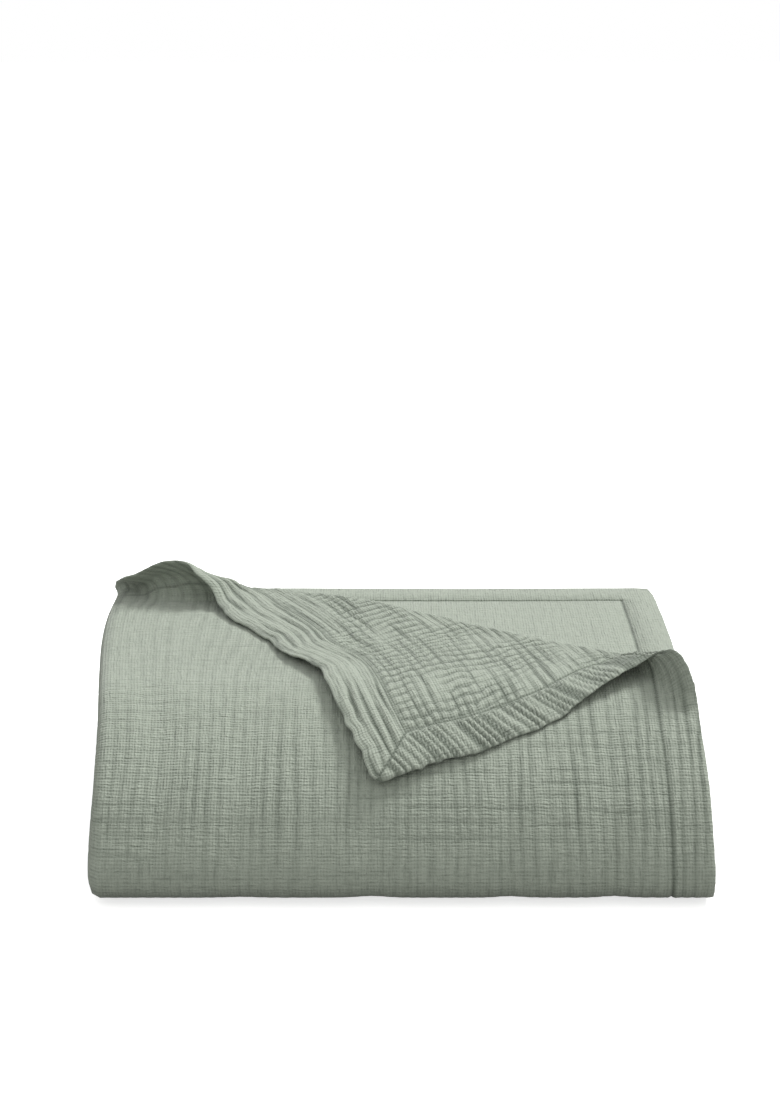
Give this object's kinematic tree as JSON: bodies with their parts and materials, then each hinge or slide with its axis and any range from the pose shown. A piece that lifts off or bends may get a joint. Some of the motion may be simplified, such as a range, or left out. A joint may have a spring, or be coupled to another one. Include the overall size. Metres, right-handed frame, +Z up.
{
  "type": "cotton gauze blanket",
  "caption": "Hemmed cotton gauze blanket folded into a soft stack whose outer ply wraps the front, with one corner of the top ply rolled back over the front.",
  "frame": {"origin": "centre of the underside of the folded stack's outline", "axes": "+X to the right seen from the rounded front, +Y to the back where the hemmed ends lie, +Z up"},
  "size_m": [0.6192, 0.5216, 0.2004],
  "materials": {
    "gauze": "soft crinkled cotton gauze, sage green, matte"
  },
  "bodies": {
    "root": {"blanket": "gauze"}
  },
  "joints": []
}
